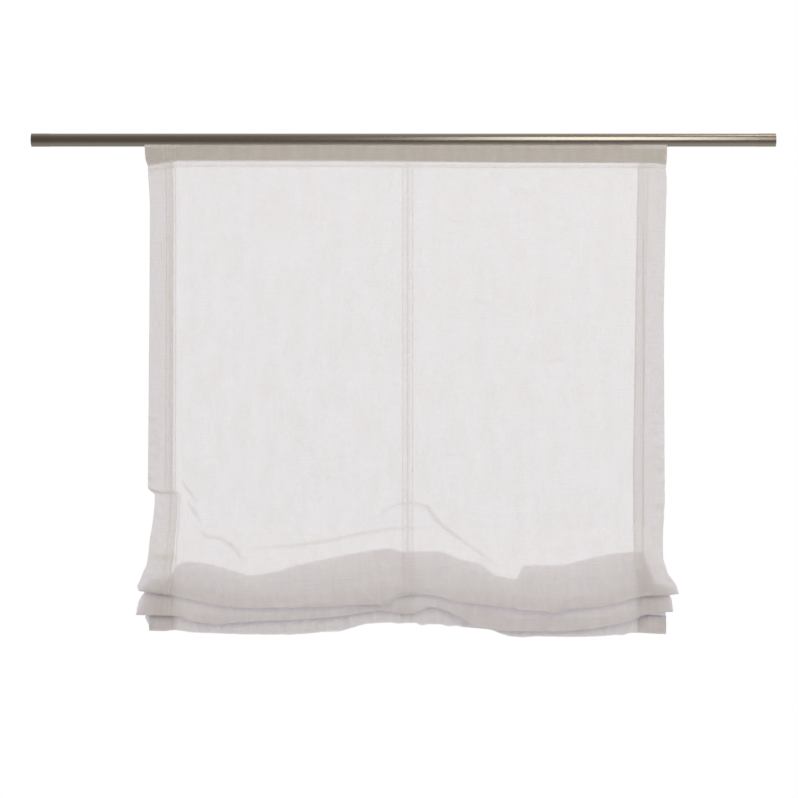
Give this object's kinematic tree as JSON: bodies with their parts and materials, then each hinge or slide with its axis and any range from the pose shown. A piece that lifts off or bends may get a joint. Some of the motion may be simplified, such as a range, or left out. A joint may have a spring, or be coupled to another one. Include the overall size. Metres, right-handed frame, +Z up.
{
  "type": "roman blind",
  "caption": "Soft roman blind of sheer linen-look cloth, drawn part way up, hanging by hook-and-loop tape from a carrier rail in a round slotted rod.",
  "frame": {"origin": "centre of the rod's left end face, on the rod's axis", "axes": "+X along the rod to its right end, -Y towards the room, +Z up"},
  "size_m": [1.15, 0.0313, 0.7734],
  "materials": {
    "rod_metal": "satin nickel on extruded aluminium",
    "white_plastic": "moulded acetal",
    "clear_plastic": "moulded, polished",
    "zinc_screw": "bright zinc",
    "rail_aluminium": "mill finish",
    "hook_nylon": "moulded hooks",
    "loop_nylon": "brushed loops",
    "panel_cloth": "sheer plain weave with slubs",
    "tape_cloth": "woven tape with cord loops",
    "cord_white": "braided",
    "spring_steel": "drawn wire"
  },
  "bodies": {
    "rod": {"rod_tube": "rod_metal", "end_cap_left": "rod_metal", "end_cap_right": "rod_metal", "track_stop_left": "white_plastic", "track_stop_right": "white_plastic", "stop_screw_left": "zinc_screw", "stop_screw_right": "zinc_screw"},
    "blind": {"carrier_rail": "rail_aluminium", "glider_screws": "zinc_screw", "guide_screws": "zinc_screw", "hook_tape": "hook_nylon", "loop_tape": "loop_nylon", "fabric_panel": "panel_cloth", "glider_1": "white_plastic", "glider_2": "white_plastic", "glider_3": "white_plastic", "glider_4": "white_plastic", "glider_5": "white_plastic", "lifting_tape_left": "tape_cloth", "lift_cord_left": "cord_white", "cord_guide_left": "white_plastic", "cord_stop_left": "clear_plastic", "stop_spring_left": "spring_steel", "lifting_tape_centre": "tape_cloth", "lift_cord_centre": "cord_white", "cord_guide_centre": "white_plastic", "cord_stop_centre": "clear_plastic", "stop_spring_centre": "spring_steel", "lifting_tape_right": "tape_cloth", "lift_cord_right": "cord_white", "cord_guide_right": "white_plastic", "cord_stop_right": "clear_plastic", "stop_spring_right": "spring_steel"},
    "plunger_left": {"stop_plunger_left": "white_plastic"},
    "plunger_centre": {"stop_plunger_centre": "white_plastic"},
    "plunger_right": {"stop_plunger_right": "white_plastic"}
  },
  "joints": [
    {"name": "blind_slide", "type": "slide", "parent": "rod", "child": "blind", "axis": [1, 0, 0], "range_m": [-0.1457, 0.1357]},
    {"name": "press_left", "type": "slide", "parent": "blind", "child": "plunger_left", "axis": [1, 0, 0], "range_m": [0, 0.003], "stiffness_N_per_m": 1500, "springref_m": -0.002, "deforming": ["stop_spring_left"]},
    {"name": "press_centre", "type": "slide", "parent": "blind", "child": "plunger_centre", "axis": [1, 0, 0], "range_m": [0, 0.003], "stiffness_N_per_m": 1500, "springref_m": -0.002, "deforming": ["stop_spring_centre"]},
    {"name": "press_right", "type": "slide", "parent": "blind", "child": "plunger_right", "axis": [-1, 0, 0], "range_m": [0, 0.003], "stiffness_N_per_m": 1500, "springref_m": -0.002, "deforming": ["stop_spring_right"]}
  ]
}
